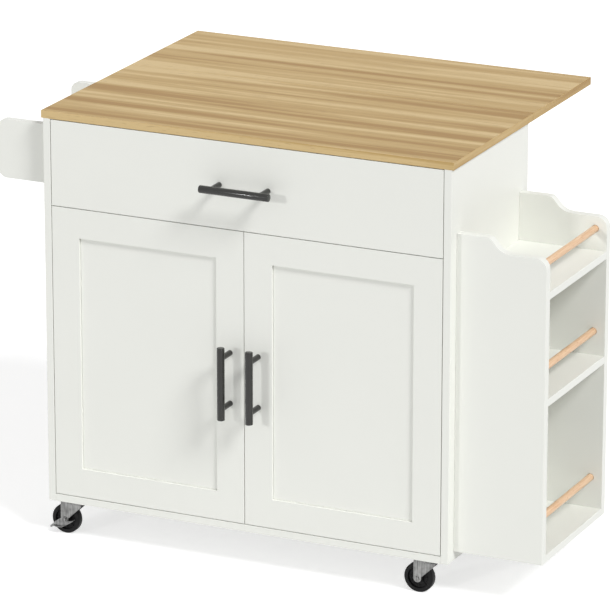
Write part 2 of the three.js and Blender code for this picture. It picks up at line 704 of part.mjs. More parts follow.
// The pressed fork: a dished crown and two legs, with the axle riveted across them. Each leg is
// an upright band with a round end, pressed outwards, and a flank that slopes to the crown's toe.
function forkGeometry() {
  const axle = [-casterTrail, 0, wheelRadius];
  const bandX = [-casterTrail - forkEyeRadius, -casterTrail + forkEyeRadius];
  const band = new THREE.Shape();
  band.moveTo(bandX[0], dishFloor);
  band.lineTo(bandX[0], wheelRadius);
  band.absarc(-casterTrail, wheelRadius, forkEyeRadius, Math.PI, 2 * Math.PI, false);
  band.lineTo(bandX[1], dishFloor);
  const flank = outlineOf([
    [bandX[0] + forkEyeRadius, wheelRadius + forkWaist],
    [bandX[1], wheelRadius + forkWaist],
    [forkToeReach, dishFloor - forkToeDepth],
    [forkToeReach, dishFloor],
    [bandX[0] + forkEyeRadius, dishFloor],
  ]);
  const axleEnd = bandOuter + axleHeadLength;
  const pieces = [
    roundBar('z', [0, 0, 0], raceDiameter, crownLow, plateBottom - raceRimGap, 28),
    boxBetween([bandX[0], forkToeReach], [-legOuter, legOuter], [crownLow, dishFloor]),
    roundBar('y', axle, axleDiameter, -axleEnd, axleEnd, 16),
  ];
  for (const side of [-1, 1]) {
    pieces.push(extrudeAlong('y', band, ...sorted(side * legInner, side * bandOuter)));
    pieces.push(extrudeAlong('y', flank, ...sorted(side * legInner, side * legOuter)));
  }
  const dish = roundBar('z', [0, 0, 0], innerRaceDiameter + 2 * fitGap, dishFloor, plateBottom, 24);
  return carve(pieces, [dish]);
}

// The brake lever: two arms outside the legs, turning on the axle and joined by a bar behind
// the wheel. The lower edge of the front arm is turned outwards for a foot.
function pedalGeometry() {
  const [barX, barTop] = pedalHeel;
  const arm = new THREE.Shape();
  arm.moveTo(...pedalTip);
  arm.lineTo(...pedalNeck);
  arm.absarc(0, 0, pedalBossRadius, ...pedalBossSpan, false);
  arm.lineTo(...pedalShoulder);
  arm.lineTo(barX - pedalBar, barTop);
  arm.lineTo(barX - pedalBar, barTop - pedalBar);
  arm.lineTo(barX, barTop - pedalBar);
  for (const point of [...pedalHull].reverse()) arm.lineTo(...point);

  const edge = [pedalTip, ...pedalHull];
  const lip = outlineOf([...edge, ...edge.map(([x, z]) => [x, z + pedalSheet]).reverse()]);
  const inner = bandOuter + fitGap;
  const outer = inner + pedalSheet;
  const pieces = [
    boxBetween([barX - pedalBar, barX], [-outer, outer], [barTop - pedalBar, barTop]),
    extrudeAlong('y', lip, -outer - pedalLip, -inner),
  ];
  for (const side of [-1, 1]) {
    pieces.push(extrudeAlong('y', arm, ...sorted(side * inner, side * outer), pedalBossSegments));
  }
  const bore = roundBar('y', [0, 0, 0], axleDiameter + 2 * fitGap, -outer - overcut, outer + overcut, 16);
  return carve(pieces, [bore]);
}

function buildCasters() {
  const cabinetX = halfWidth - casterSideInset;
  const corners = [
    ['front_left', -cabinetX, casterEndInset, true],
    ['front_right', cabinetX, casterEndInset, false],
    ['rear_left', -cabinetX, cabinetDepth - casterEndInset, false],
    ['rear_right', cabinetX, cabinetDepth - casterEndInset, true],
  ];
  const wheel = wheelGeometry();
  const plate = casterPlateGeometry();
  const fork = forkGeometry();
  const pedal = pedalGeometry();
  for (const [corner, x, y, braked] of corners) {
    const caster = new THREE.Group();
    caster.position.set(x, y, 0);
    island.add(caster);
    place(`${corner}_caster_plate`, plate, zincSteel, caster);
    place(`${corner}_caster_fork`, fork, zincSteel, caster);
    const axle = [-casterTrail, 0, wheelRadius];
    place(`${corner}_wheel`, wheel, blackPlastic, caster).position.set(...axle);
    if (braked) {
      place(`${corner}_brake_pedal`, pedal, zincSteel, caster).position.set(...axle);
    }
  }
}

buildCabinet();
buildTop();
buildLeafBracket('left', -1);
buildLeafBracket('right', 1);
buildDrawer();
buildDoors();
buildRack();
buildTowelRail();
buildCasters();

export default island;
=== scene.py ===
# %% [markdown]
# # A drop leaf kitchen island
# A white island on casters, with a drawer, two panelled doors, a spice rack, a towel rail and an
# oak look worktop whose rear leaf folds down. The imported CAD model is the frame: it says where
# each board, rod and wheel is and what it moves with. This script gives each of them its looks.

# %% Load the frame
import json
import math

import bmesh
import bpy
from mathutils import Matrix, Vector
from mathutils.geometry import interpolate_bezier

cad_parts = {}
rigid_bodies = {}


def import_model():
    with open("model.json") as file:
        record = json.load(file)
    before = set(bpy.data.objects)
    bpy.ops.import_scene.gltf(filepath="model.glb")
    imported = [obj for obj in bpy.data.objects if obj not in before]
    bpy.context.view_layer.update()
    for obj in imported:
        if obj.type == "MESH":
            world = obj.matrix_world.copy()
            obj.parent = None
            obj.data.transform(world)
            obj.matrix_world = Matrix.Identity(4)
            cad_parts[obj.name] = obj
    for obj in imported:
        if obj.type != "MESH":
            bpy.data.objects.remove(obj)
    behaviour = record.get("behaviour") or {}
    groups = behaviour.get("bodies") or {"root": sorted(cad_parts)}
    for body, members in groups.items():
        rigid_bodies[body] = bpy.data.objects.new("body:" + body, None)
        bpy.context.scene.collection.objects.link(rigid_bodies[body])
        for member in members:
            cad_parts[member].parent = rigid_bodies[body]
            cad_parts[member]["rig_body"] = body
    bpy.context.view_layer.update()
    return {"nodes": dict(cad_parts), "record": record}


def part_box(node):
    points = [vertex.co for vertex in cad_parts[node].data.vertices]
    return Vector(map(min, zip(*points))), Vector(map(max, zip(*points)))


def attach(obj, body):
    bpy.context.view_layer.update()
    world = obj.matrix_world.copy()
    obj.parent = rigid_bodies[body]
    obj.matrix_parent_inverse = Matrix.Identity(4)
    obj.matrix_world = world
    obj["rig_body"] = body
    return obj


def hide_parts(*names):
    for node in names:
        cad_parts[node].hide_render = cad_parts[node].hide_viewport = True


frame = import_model()
slot_of = {part["node"]: part["material_slot"] for part in frame["record"]["subparts"]}
body_of = {name: node["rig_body"] for name, node in frame["nodes"].items()}

# %% [markdown]
# ## The camera
# The picture was taken from high up on the right, with a long lens. A lens that long keeps
# upright edges nearly parallel, so the camera stands far away and its angle does most of the work.

# %% Camera
CAMERA_PLACE = (3.7243, -8.05355, 3.2783)
CAMERA_TURN = 25.091  # degrees round Z
CAMERA_TILT = 72.275  # degrees from straight down
CAMERA_ROLL = 0.045  # degrees round the line of sight
LENS = 278.4  # millimetres
SENSOR = 36  # millimetres
SIGHT = 100  # metres that the camera sees

camera_data = bpy.data.cameras.new("camera")
camera_data.lens = LENS
camera_data.sensor_width = SENSOR
camera_data.clip_end = SIGHT
camera = bpy.data.objects.new("camera", camera_data)
camera.matrix_world = (
    Matrix.Translation(CAMERA_PLACE)
    @ Matrix.Rotation(math.radians(CAMERA_TURN), 4, "Z")
    @ Matrix.Rotation(math.radians(CAMERA_TILT), 4, "X")
    @ Matrix.Rotation(math.radians(CAMERA_ROLL), 4, "Z")
)
bpy.context.scene.collection.objects.link(camera)
bpy.context.scene.camera = camera
bpy.context.scene.view_settings.view_transform = "Standard"
print("camera", round(Vector(CAMERA_PLACE).length, 2), "m away with a", LENS, "mm lens")

# %% [markdown]
# ## Tools for finishes
# Every finish is a small tree of nodes. One function adds a node, sets its values and links what
# feeds it, and another turns a hex colour, as a paint chart gives it, into linear light. Patterns
# read Object coordinates, which are metres here, so a pattern's scale is one over its real size.

# %% Nodes and colours
def linear(hex_colour):
    """An sRGB hex colour as linear red, green, blue and alpha."""
    values = [int(hex_colour[i:i + 2], 16) / 255 for i in (1, 3, 5)]
    return [v / 12.92 if v <= 0.04045 else ((v + 0.055) / 1.055) ** 2.4 for v in values] + [1.0]


def add_node(tree, kind, settings=None, links=None):
    """Adds a node. Settings go to its properties or sockets, and links feed its sockets."""
    node = tree.nodes.new(kind)
    for name, value in (settings or {}).items():
        if isinstance(name, str) and hasattr(node, name):
            setattr(node, name, value)
        else:
            node.inputs[name].default_value = value
    for name, source in (links or {}).items():
        tree.links.new(source, node.inputs[name])
    return node


def new_finish(name):
    """An empty material: the material, its tree, its shader and the place on the object."""
    material = bpy.data.materials.new(name)
    material.use_nodes = True
    tree = material.node_tree
    shader = next(n for n in tree.nodes if n.type == "BSDF_PRINCIPLED")
    place = add_node(tree, "ShaderNodeTexCoord").outputs["Object"]
    return material, tree, shader, place


def per_metre(size_mm):
    """How many repeats of a size in millimetres go into one metre."""
    return 1000 / size_mm


print("a pattern of 20 mm has a scale of", per_metre(20))

# %% [markdown]
# ## Clouds and skins
# Most of the finishes share two habits. Their tint and their dullness drift a little from place
# to place, as sprayed, baked or plated coats do, and their surface has a fine relief. Each habit
# is written once here, and a finish gives it its own colours and its own real sizes.

# %% Clouds and skins
RELIEF = 0.0002  # metres, the height of a relief at full strength


def add_clouds(tree, shader, place, colours, patch_mm, roughness):
    """Lets tint and roughness drift together over patches of a real size."""
    cloud = add_node(tree, "ShaderNodeTexNoise", {"Scale": per_metre(patch_mm), "Detail": 3.0},
                     {"Vector": place})
    tint = add_node(tree, "ShaderNodeMix",
                    {"data_type": "RGBA", 6: linear(colours[0]), 7: linear(colours[1])},
                    {0: cloud.outputs["Fac"]})
    dull = add_node(tree, "ShaderNodeMapRange", {"To Min": roughness[0], "To Max": roughness[1]},
                    {"Value": cloud.outputs["Fac"]})
    tree.links.new(tint.outputs[2], shader.inputs["Base Color"])
    tree.links.new(dull.outputs["Result"], shader.inputs["Roughness"])


def add_skin(tree, shader, place, grain_mm, strength):
    """Gives the surface a fine relief whose grains have a real size."""
    grains = add_node(tree, "ShaderNodeTexNoise", {"Scale": per_metre(grain_mm), "Detail": 1.0},
                      {"Vector": place})
    skin = add_node(tree, "ShaderNodeBump", {"Strength": strength, "Distance": RELIEF},
                    {"Height": grains.outputs["Fac"]})
    tree.links.new(skin.outputs["Normal"], shader.inputs["Normal"])


print("relief", RELIEF * 1000, "mm")

# %% [markdown]
# ### White satin lacquer on MDF
# The boards are fibreboard under a sprayed satin lacquer: a warm off white, smooth, with the
# faintest orange peel from the spray gun. A flat colour would look like plastic, so a slow noise
# varies tint and sheen, and a fine one ripples the coat. The real ripple is about a millimetre
# wide, too fine to show, so it is drawn at three.

# %% White lacquer
LACQUER = ("#ecede7", "#e9eae4")
LACQUER_CLOUD_MM = 180.0
LACQUER_ROUGHNESS = (0.38, 0.46)
PEEL_MM = 3.0
PEEL_STRENGTH = 0.06

white_lacquer, tree, shader, place = new_finish("satin_lacquered_mdf")
add_clouds(tree, shader, place, LACQUER, LACQUER_CLOUD_MM, LACQUER_ROUGHNESS)
add_skin(tree, shader, place, PEEL_MM, PEEL_STRENGTH)
shader.inputs["IOR"].default_value = 1.5
print("made", white_lacquer.name)

# %% [markdown]
# ### Oak look laminate
# The top is board under a printed oak film, and its edges wear bands cut from a roll of the same
# print. The print runs along X. The band on an end runs along that end, so there the pattern is
# turned, by the piece's own normal, and each band shows its own stretch of the print.

# %% Oak grain direction
FRONT_BAND_SHIFT = (0.0, 0.03)  # metres in Y and Z: which stretch of the print a band shows
END_BAND_SHIFT = (0.022, 0.016)
FACES = 0.7  # how nearly a normal has to lie along an axis to count as facing that way

oak_laminate, tree, shader, place = new_finish("oak_look_laminate")
normal = add_node(tree, "ShaderNodeTexCoord").outputs["Normal"]
facing = add_node(tree, "ShaderNodeSeparateXYZ", {}, {"Vector": normal})
grain = place
for axis, shift, turn in (("Y", FRONT_BAND_SHIFT, 0), ("X", END_BAND_SHIFT, 90)):
    size = add_node(tree, "ShaderNodeMath", {"operation": "ABSOLUTE"}, {0: facing.outputs[axis]})
    on_band = add_node(tree, "ShaderNodeMath", {"operation": "GREATER_THAN", 1: FACES},
                       {0: size.outputs["Value"]})
    moved = add_node(tree, "ShaderNodeMapping",
                     {"Location": (0, *shift), "Rotation": (0, 0, math.radians(turn))},
                     {"Vector": place})
    choice = add_node(tree, "ShaderNodeMix", {"data_type": "VECTOR"},
                      {0: on_band.outputs["Value"], 4: grain, 5: moved.outputs["Vector"]})
    grain = choice.outputs[1]
print("oak grain turned on the ends of the top")

# %% [markdown]
# The print shows what plain sawn oak shows: soft, uneven bands of paler and darker wood a few
# fingers wide, fine straight fibres, and short dark pores. A wave would repeat too evenly, so the
# bands are a noise drawn out forty times along the grain, and streaks and fibres are finer
# copies of it that count for less. A ramp turns their sum into the tones of the wood.

# %% Oak bands, fibres and pores
OAK_PALE = "#d0b581"
OAK_MID = "#b99a60"
OAK_DARK = "#a07b3c"
OAK_PORE = "#8a6a40"
DARK_AT, MID_AT, PALE_AT = 0.59, 0.735, 0.87  # where each tone sits in the summed noise
OAK_ROUGHNESS = 0.5
BAND_MM = 38.0
STREAK_MM = 15.0
STREAK_WEIGHT = 0.26
FIBRE_MM = 4.0
FIBRE_WEIGHT = 0.22
FIBRE_STRENGTH = 0.15
PORE_MM = 2.0
PORE_RANGE = (0.62, 0.75)
PORE_SHARE = 0.4
DRAWN_OUT = 40.0  # how much longer than wide the figure of the grain is
PORE_DRAWN_OUT = 12.0
SLANT = 0.8  # degrees between the grain and the board

slant = add_node(tree, "ShaderNodeMapping",
                 {"Rotation": (0, 0, math.radians(SLANT)), "Scale": (1 / DRAWN_OUT, 1, 1)},
                 {"Vector": grain})
bands = add_node(tree, "ShaderNodeTexNoise",
                 {"Scale": per_metre(BAND_MM), "Detail": 1.5, "Roughness": 0.4},
                 {"Vector": slant.outputs["Vector"]})
streaks = add_node(tree, "ShaderNodeTexNoise", {"Scale": per_metre(STREAK_MM), "Detail": 2.0},
                   {"Vector": slant.outputs["Vector"]})
fibres = add_node(tree, "ShaderNodeTexNoise", {"Scale": per_metre(FIBRE_MM), "Detail": 2.0},
                  {"Vector": slant.outputs["Vector"]})
short = add_node(tree, "ShaderNodeMapping", {"Scale": (1 / PORE_DRAWN_OUT, 1, 1)},
                 {"Vector": grain})
pores = add_node(tree, "ShaderNodeTexNoise", {"Scale": per_metre(PORE_MM), "Detail": 1.0},
                 {"Vector": short.outputs["Vector"]})
fine = add_node(tree, "ShaderNodeMath", {"operation": "MULTIPLY_ADD", 1: STREAK_WEIGHT},
                {0: streaks.outputs["Fac"], 2: bands.outputs["Fac"]})
tone = add_node(tree, "ShaderNodeMath", {"operation": "MULTIPLY_ADD", 1: FIBRE_WEIGHT},
                {0: fibres.outputs["Fac"], 2: fine.outputs["Value"]})
wood = add_node(tree, "ShaderNodeValToRGB", {}, {"Fac": tone.outputs["Value"]})
ramp = wood.color_ramp
ramp.interpolation = "EASE"
ramp.elements[0].position = DARK_AT
ramp.elements[0].color = linear(OAK_DARK)
ramp.elements[1].position = PALE_AT
ramp.elements[1].color = linear(OAK_PALE)
ramp.elements.new(MID_AT).color = linear(OAK_MID)
pore_mask = add_node(tree, "ShaderNodeMapRange",
                     {"From Min": PORE_RANGE[0], "From Max": PORE_RANGE[1], "To Max": PORE_SHARE},
                     {"Value": pores.outputs["Fac"]})
oak_colour = add_node(tree, "ShaderNodeMix", {"data_type": "RGBA", 7: linear(OAK_PORE)},
                      {0: pore_mask.outputs["Result"], 6: wood.outputs["Color"]})
emboss = add_node(tree, "ShaderNodeBump", {"Strength": FIBRE_STRENGTH, "Distance": RELIEF},
                  {"Height": fibres.outputs["Fac"]})
tree.links.new(oak_colour.outputs[2], shader.inputs["Base Color"])
tree.links.new(emboss.outputs["Normal"], shader.inputs["Normal"])
shader.inputs["Roughness"].default_value = OAK_ROUGHNESS
print("made", oak_laminate.name)

# %% [markdown]
# ### Lacquered beech dowel
# The rods are turned from beech: pale, pinkish straw, with close straight grain along the rod and
# tiny dark flecks. The grain follows the rod, which lies along Y, so the noise is stretched there.

# %% Beech
BEECH = "#e9c9a7"
BEECH_DARK = "#d8ac83"
BEECH_FLECK = "#c08a5c"
BEECH_GRAIN_MM = 1.6
BEECH_GRAIN_RANGE = (0.35, 0.68)
BEECH_DRAWN_OUT = 30.0
BEECH_ROUGHNESS = 0.42
FLECK_MM = 2.2
FLECK_RANGE = (0.68, 0.76)
FLECK_SHARE = 0.5
FLECK_DRAWN_OUT = 4.0

beech, tree, shader, place = new_finish("lacquered_beech")
along = add_node(tree, "ShaderNodeMapping", {"Scale": (1, 1 / BEECH_DRAWN_OUT, 1)},
                 {"Vector": place})
grain = add_node(tree, "ShaderNodeTexNoise", {"Scale": per_metre(BEECH_GRAIN_MM), "Detail": 4.0},
                 {"Vector": along.outputs["Vector"]})
contrast = add_node(tree, "ShaderNodeMapRange",
                    {"From Min": BEECH_GRAIN_RANGE[0], "From Max": BEECH_GRAIN_RANGE[1]},
                    {"Value": grain.outputs["Fac"]})
straw = add_node(tree, "ShaderNodeMix",
                 {"data_type": "RGBA", 6: linear(BEECH), 7: linear(BEECH_DARK)},
                 {0: contrast.outputs["Result"]})
squeezed = add_node(tree, "ShaderNodeMapping", {"Scale": (1, 1 / FLECK_DRAWN_OUT, 1)},
                    {"Vector": place})
flecks = add_node(tree, "ShaderNodeTexNoise", {"Scale": per_metre(FLECK_MM), "Detail": 0.0},
                  {"Vector": squeezed.outputs["Vector"]})
fleck_mask = add_node(
    tree, "ShaderNodeMapRange",
    {"From Min": FLECK_RANGE[0], "From Max": FLECK_RANGE[1], "To Max": FLECK_SHARE},
    {"Value": flecks.outputs["Fac"]})
beech_colour = add_node(tree, "ShaderNodeMix", {"data_type": "RGBA", 7: linear(BEECH_FLECK)},
                        {0: fleck_mask.outputs["Result"], 6: straw.outputs[2]})
tree.links.new(beech_colour.outputs[2], shader.inputs["Base Color"])
shader.inputs["Roughness"].default_value = BEECH_ROUGHNESS
print("made", beech.name)

# %% [markdown]
# ### Dark powder coat
# The pulls are steel under a charcoal powder coat. It is baked plastic, so it is a dielectric: its
# highlight is white, not tinted, and soft but narrow. The baked grains leave a fine pebbled skin,
# half a millimetre wide in life and drawn at one.

# %% Powder coat
CHARCOAL = ("#1e1e1b", "#272724")
CHARCOAL_CLOUD_MM = 12.0
CHARCOAL_ROUGHNESS = (0.15, 0.22)
PEBBLE_MM = 1.0
PEBBLE_STRENGTH = 0.05

powder_coat, tree, shader, place = new_finish("charcoal_powder_coat")
add_clouds(tree, shader, place, CHARCOAL, CHARCOAL_CLOUD_MM, CHARCOAL_ROUGHNESS)
add_skin(tree, shader, place, PEBBLE_MM, PEBBLE_STRENGTH)
print("made", powder_coat.name)

# %% [markdown]
# ### Zinc plate
# Brackets and casters are pressed steel with bright zinc plate, which dries in cloudy patches of
# lighter and darker grey. It is a metal, so its colour is in the reflection. Faint upright stripes
# of lighter and darker grey are painted light and shade; they also vary its roughness.

# %% Zinc
ZINC = "#949493"
ZINC_DARK = "#5a5a5a"
ZINC_CLOUD_MM = 18.0
ZINC_RANGE = (0.85, 1.4)
ZINC_ROUGHNESS = (0.30, 0.46)
SPANGLE_MM = 7.0
SPANGLE_WEIGHT = 0.4
# Upright stripes of painted light and shade: their width, and how much longer than wide they are.
PAINTED_STRIPE_MM = 2.0
PAINTED_STRIPE_DRAWN_OUT = 25.0

zinc_plate, tree, shader, place = new_finish("bright_zinc_plate")
spangle = add_node(tree, "ShaderNodeTexVoronoi",
                   {"Scale": per_metre(SPANGLE_MM), "feature": "SMOOTH_F1"}, {"Vector": place})
patch = add_node(tree, "ShaderNodeTexNoise", {"Scale": per_metre(ZINC_CLOUD_MM), "Detail": 3.0},
                 {"Vector": place})
clouds = add_node(tree, "ShaderNodeMath", {"operation": "MULTIPLY_ADD", 1: SPANGLE_WEIGHT},
                  {0: spangle.outputs["Distance"], 2: patch.outputs["Fac"]})
# Painted light and shade: upright stripes of lighter and darker grey, stretched along Z.
stretched_upright = add_node(tree, "ShaderNodeMapping", {"Scale": (1, 1, 1 / PAINTED_STRIPE_DRAWN_OUT)},
                  {"Vector": place})
painted_stripes = add_node(tree, "ShaderNodeTexNoise", {"Scale": per_metre(PAINTED_STRIPE_MM), "Detail": 1.0},
                 {"Vector": stretched_upright.outputs["Vector"]})
clouds_and_painted_stripes = add_node(tree, "ShaderNodeMath", {"operation": "ADD"},
                    {0: clouds.outputs["Value"], 1: painted_stripes.outputs["Fac"]})
level = add_node(tree, "ShaderNodeMapRange",
                 {"From Min": ZINC_RANGE[0], "From Max": ZINC_RANGE[1]},
                 {"Value": clouds_and_painted_stripes.outputs["Value"]})
shade = add_node(tree, "ShaderNodeMix",
                 {"data_type": "RGBA", 6: linear(ZINC_DARK), 7: linear(ZINC)},
                 {0: level.outputs["Result"]})
dull = add_node(tree, "ShaderNodeMapRange",
                {"To Min": ZINC_ROUGHNESS[0], "To Max": ZINC_ROUGHNESS[1]},
                {"Value": painted_stripes.outputs["Fac"]})
tree.links.new(shade.outputs[2], shader.inputs["Base Color"])
tree.links.new(dull.outputs["Result"], shader.inputs["Roughness"])
shader.inputs["Metallic"].default_value = 1.0
print("made", zinc_plate.name)

# %% [markdown]
# ### Nickel plate
# The hinges, their screws and the shelf pins are nickel plate over a polished pressing: smoother,
# warmer and more even than the zinc.

# %% Nickel
NICKEL = ("#cfcdc8", "#bfbcb6")
NICKEL_CLOUD_MM = 15.0
NICKEL_ROUGHNESS = (0.18, 0.28)

nickel_plate, tree, shader, place = new_finish("nickel_plate")
add_clouds(tree, shader, place, NICKEL, NICKEL_CLOUD_MM, NICKEL_ROUGHNESS)
shader.inputs["Metallic"].default_value = 1.0
print("made", nickel_plate.name)

# %% [markdown]
# ### White epoxy
# The drawer slides are steel under white epoxy, a little glossier than the lacquer.

# %% Epoxy
EPOXY = ("#e9eae8", "#e1e2e0")
EPOXY_CLOUD_MM = 20.0
EPOXY_ROUGHNESS = (0.28, 0.38)

white_epoxy, tree, shader, place = new_finish("white_epoxy_on_steel")
add_clouds(tree, shader, place, EPOXY, EPOXY_CLOUD_MM, EPOXY_ROUGHNESS)
print("made", white_epoxy.name)

# %% [markdown]
# ### Black polypropylene
# The wheels are moulded polypropylene: near black, with a slightly greyer bloom where they have
# rolled, and the fine matt texture of a spark eroded mould, which breaks up most of its gloss.

# %% Polypropylene
MOULDING = ("#0a0a0b", "#141415")
MOULDING_CLOUD_MM = 9.0
MOULDING_ROUGHNESS = (0.40, 0.52)
MOULDING_GLOSS = 0.2
SPARK_MM = 0.8
SPARK_STRENGTH = 0.1

black_moulding, tree, shader, place = new_finish("black_polypropylene")
add_clouds(tree, shader, place, MOULDING, MOULDING_CLOUD_MM, MOULDING_ROUGHNESS)
add_skin(tree, shader, place, SPARK_MM, SPARK_STRENGTH)
shader.inputs["IOR"].default_value = 1.49
shader.inputs["Specular IOR Level"].default_value = MOULDING_GLOSS
print("made", black_moulding.name)

# %% [markdown]
# ### Finishes by slot
# The record names a material slot for each CAD node, and each slot wears one of these finishes.

# %% Finishes by slot
finish_of = {
    "white_paint": white_lacquer,
    "oak_top": oak_laminate,
    "pale_wood": beech,
    "dark_pull": powder_coat,
    "zinc_steel": zinc_plate,
    "nickel_steel": nickel_plate,
    "white_steel": white_epoxy,
    "black_wheel": black_moulding,
}
print("finishes for", len(finish_of), "slots")

# %% [markdown]
# ## Tools for pieces
# A piece is drawn in a bmesh and then made an object. Sawn and painted boards never have knife
# edges, so a Bevel modifier eases each edge that is sharper than an angle. Its hardened normals
# keep the flats flat. Lengths are in metres from here on.

# %% Making pieces
EASE_SEGMENTS = 2


def add_piece(name, bm, body, slot, ease=0.0, sharp=40.0):
    """Makes a finished bmesh an object that rides on a body and wears a slot's finish."""
    mesh = bpy.data.meshes.new(name)
    bm.to_mesh(mesh)
    bm.free()
    mesh.materials.append(finish_of[slot])
    mesh.shade_smooth()
    mesh.set_sharp_from_angle(angle=math.radians(sharp))
    piece = bpy.data.objects.new(name, mesh)
    bpy.context.scene.collection.objects.link(piece)
    if ease:
        bevel = piece.modifiers.new("eased edges", "BEVEL")
        bevel.width = ease
        bevel.segments = EASE_SEGMENTS
        bevel.limit_method = "ANGLE"
        bevel.angle_limit = math.radians(sharp)
        bevel.harden_normals = True
    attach(piece, body)
    return piece


def stand_for(node, bm, **edges):
    """Makes a piece that takes a CAD node's place, on the same body and in the same finish."""
    piece = add_piece(node + "_shape", bm, body_of[node], slot_of[node], **edges)
    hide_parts(node)


def add_box(bm, low, high):
    """Adds a box between two corners to a bmesh, and returns its vertices."""
    low, high = Vector(low), Vector(high)
    verts = bmesh.ops.create_cube(bm, size=1)["verts"]
    bmesh.ops.scale(bm, vec=high - low, verts=verts)
    bmesh.ops.translate(bm, vec=(low + high) / 2, verts=verts)
    return verts


print("each eased edge has", EASE_SEGMENTS, "segments")

# %% [markdown]
# Most shapes start from a box, a round bar or a flat plate. A bar is made upright and then turned
# to its axis, and a negative length makes it run the other way. Faces and edges are gathered in
# dictionaries, because a dictionary keeps its order and a set doesn't.

# %% Boxes, bars and plates
RIM_SEGMENTS = 3
BAR_SIDES = 40
TURN_TO = {
    "x": Matrix.Rotation(math.radians(90), 4, "Y"),
    "y": Matrix.Rotation(math.radians(-90), 4, "X"),
    "z": Matrix.Identity(4),
}


def add_bar(bm, start, length, axis, diameter, rim=0.0, segments=BAR_SIDES, far_diameter=None):
    """Adds a round bar from a point along an axis, its rims eased, and returns its vertices."""
    far_diameter = diameter if far_diameter is None else far_diameter
    made = bmesh.ops.create_cone(bm, cap_ends=True, segments=segments, radius1=diameter / 2,
                                 radius2=far_diameter / 2, depth=abs(length))
    verts = made["verts"]
    bmesh.ops.translate(bm, vec=(0, 0, abs(length) / 2), verts=verts)
    if length < 0:
        bmesh.ops.rotate(bm, cent=(0, 0, 0), matrix=Matrix.Rotation(math.pi, 3, "X"), verts=verts)
    bmesh.ops.transform(bm, matrix=Matrix.Translation(start) @ TURN_TO[axis], verts=verts)
    if rim:
        caps = dict.fromkeys(f for v in verts for f in v.link_faces if len(f.verts) == segments)
        rims = list(dict.fromkeys(e for f in caps for e in f.edges))
        bmesh.ops.bevel(bm, geom=rims, offset=rim, segments=RIM_SEGMENTS, profile=0.5,
                        affect="EDGES", material=-1)
    return verts


def add_plate(bm, points, low, high):
    """Adds a plate whose outline is drawn in X and Z, as thick as from low to high along Y."""
    verts = [bm.verts.new((x, low, z)) for x, z in points]
    face = bm.faces.new(verts)
    moved = bmesh.ops.extrude_face_region(bm, geom=[face], use_keep_orig=True)["geom"]
    far = [v for v in moved if isinstance(v, bmesh.types.BMVert)]
    bmesh.ops.translate(bm, vec=(0, high - low, 0), verts=far)
    faces = list(dict.fromkeys(f for v in verts + far for f in v.link_faces))
    bmesh.ops.recalc_face_normals(bm, faces=faces)


print("bars turn to", ", ".join(TURN_TO))

# %% [markdown]
# Bent and pressed parts keep the CAD's own shape: a copy of its mesh, with the loose triangles
# joined into whole faces so that a bevel finds clean edges. Holes are cut with a boolean, which
# works on two passing objects that are gone again once the result is read.

# %% Copies and cuts
SAME_POINT = 1e-6  # metres within which two points are one
FLAT = 0.5  # degrees within which two triangles lie in one face


def merged_copy(node):
    """A CAD node's mesh with its loose triangles joined into whole faces."""
    bm = bmesh.new()
    bm.from_mesh(frame["nodes"][node].data)
    bmesh.ops.remove_doubles(bm, verts=bm.verts, dist=SAME_POINT)
    bmesh.ops.dissolve_limit(bm, angle_limit=math.radians(FLAT), verts=bm.verts, edges=bm.edges)
    return bm


def carve(bm, cutter):
    """Takes one closed bmesh away from another and returns what is left."""
    pair = []
    for shape in (bm, cutter):
        mesh = bpy.data.meshes.new("carving")
        shape.to_mesh(mesh)
        shape.free()
        pair.append(bpy.data.objects.new("carving", mesh))
        bpy.context.scene.collection.objects.link(pair[-1])
    cut = pair[0].modifiers.new("cut", "BOOLEAN")
    cut.object = pair[1]
    cut.solver = "EXACT"
    graph = bpy.context.evaluated_depsgraph_get()
    left = bmesh.new()
    left.from_mesh(pair[0].evaluated_get(graph).to_mesh())
    for shape in pair:
        bpy.data.meshes.remove(shape.data)
    return left


print("drawer_left_side has", len(merged_copy("drawer_left_side").faces), "whole faces")

# %% [markdown]
# ## Boards
# Cabinet, drawer box, shelves and worktop are sawn boards. Each starts as a cube, is stretched to
# its CAD node's box, and has its edges eased: a hand sanded 0.7 mm on painted board, and a crisp
# 0.4 mm where laminate meets its edge band.

# %% Plain boards
PAINTED_EASE = 0.0007
LAMINATE_EASE = 0.0004

painted_boards = [
    "left_side_panel", "right_side_panel", "bottom_panel", "back_panel", "drawer_divider",
    "front_stretcher", "inner_shelf", "drawer_front", "drawer_bottom", "drawer_back",
    "rack_bottom_shelf", "rack_middle_shelf", "rack_top_shelf",
]
for node in painted_boards + ["main_top", "drop_leaf"]:
    bm = bmesh.new()
    add_box(bm, *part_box(node))
    stand_for(node, bm, ease=PAINTED_EASE if node in painted_boards else LAMINATE_EASE)
for node in ("drawer_left_side", "drawer_right_side"):
    stand_for(node, merged_copy(node), ease=PAINTED_EASE)
print(len(painted_boards) + 4, "boards")

# %% [markdown]
# ## Doors
# Each door is one board with a sunk panel milled into its face, and two round pockets for hinge
# cups milled into its back. The front face is inset by the width of the stiles and then inset
# again inwards, as the router does. Two more narrow insets make the fine groove at the foot of
# the recess, which shows as a thin grey line. The pockets are cut with a boolean.

# %% Doors
STILE = 0.058
RECESS = 0.005
ROUTER_DRAFT = 0.0003
QUIRK = 0.0012  # the fine groove the cutter leaves along the foot of the recess
DOOR_EASE = 0.0003
CUP = 0.035  # the diameter that every concealed hinge has
CUP_FROM_EDGE = 0.0225
CUP_FROM_END = 0.085
CUP_DEPTH = 0.0115
OVERSHOOT = 0.001  # how far a cutter stands out of the face that it cuts


def cup_places(node):
    """The middle of each hinge cup on the back face of a door."""
    low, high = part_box(node)
    x = low.x + CUP_FROM_EDGE if node.startswith("left") else high.x - CUP_FROM_EDGE
    return [Vector((x, high.y, z)) for z in (low.z + CUP_FROM_END, high.z - CUP_FROM_END)]


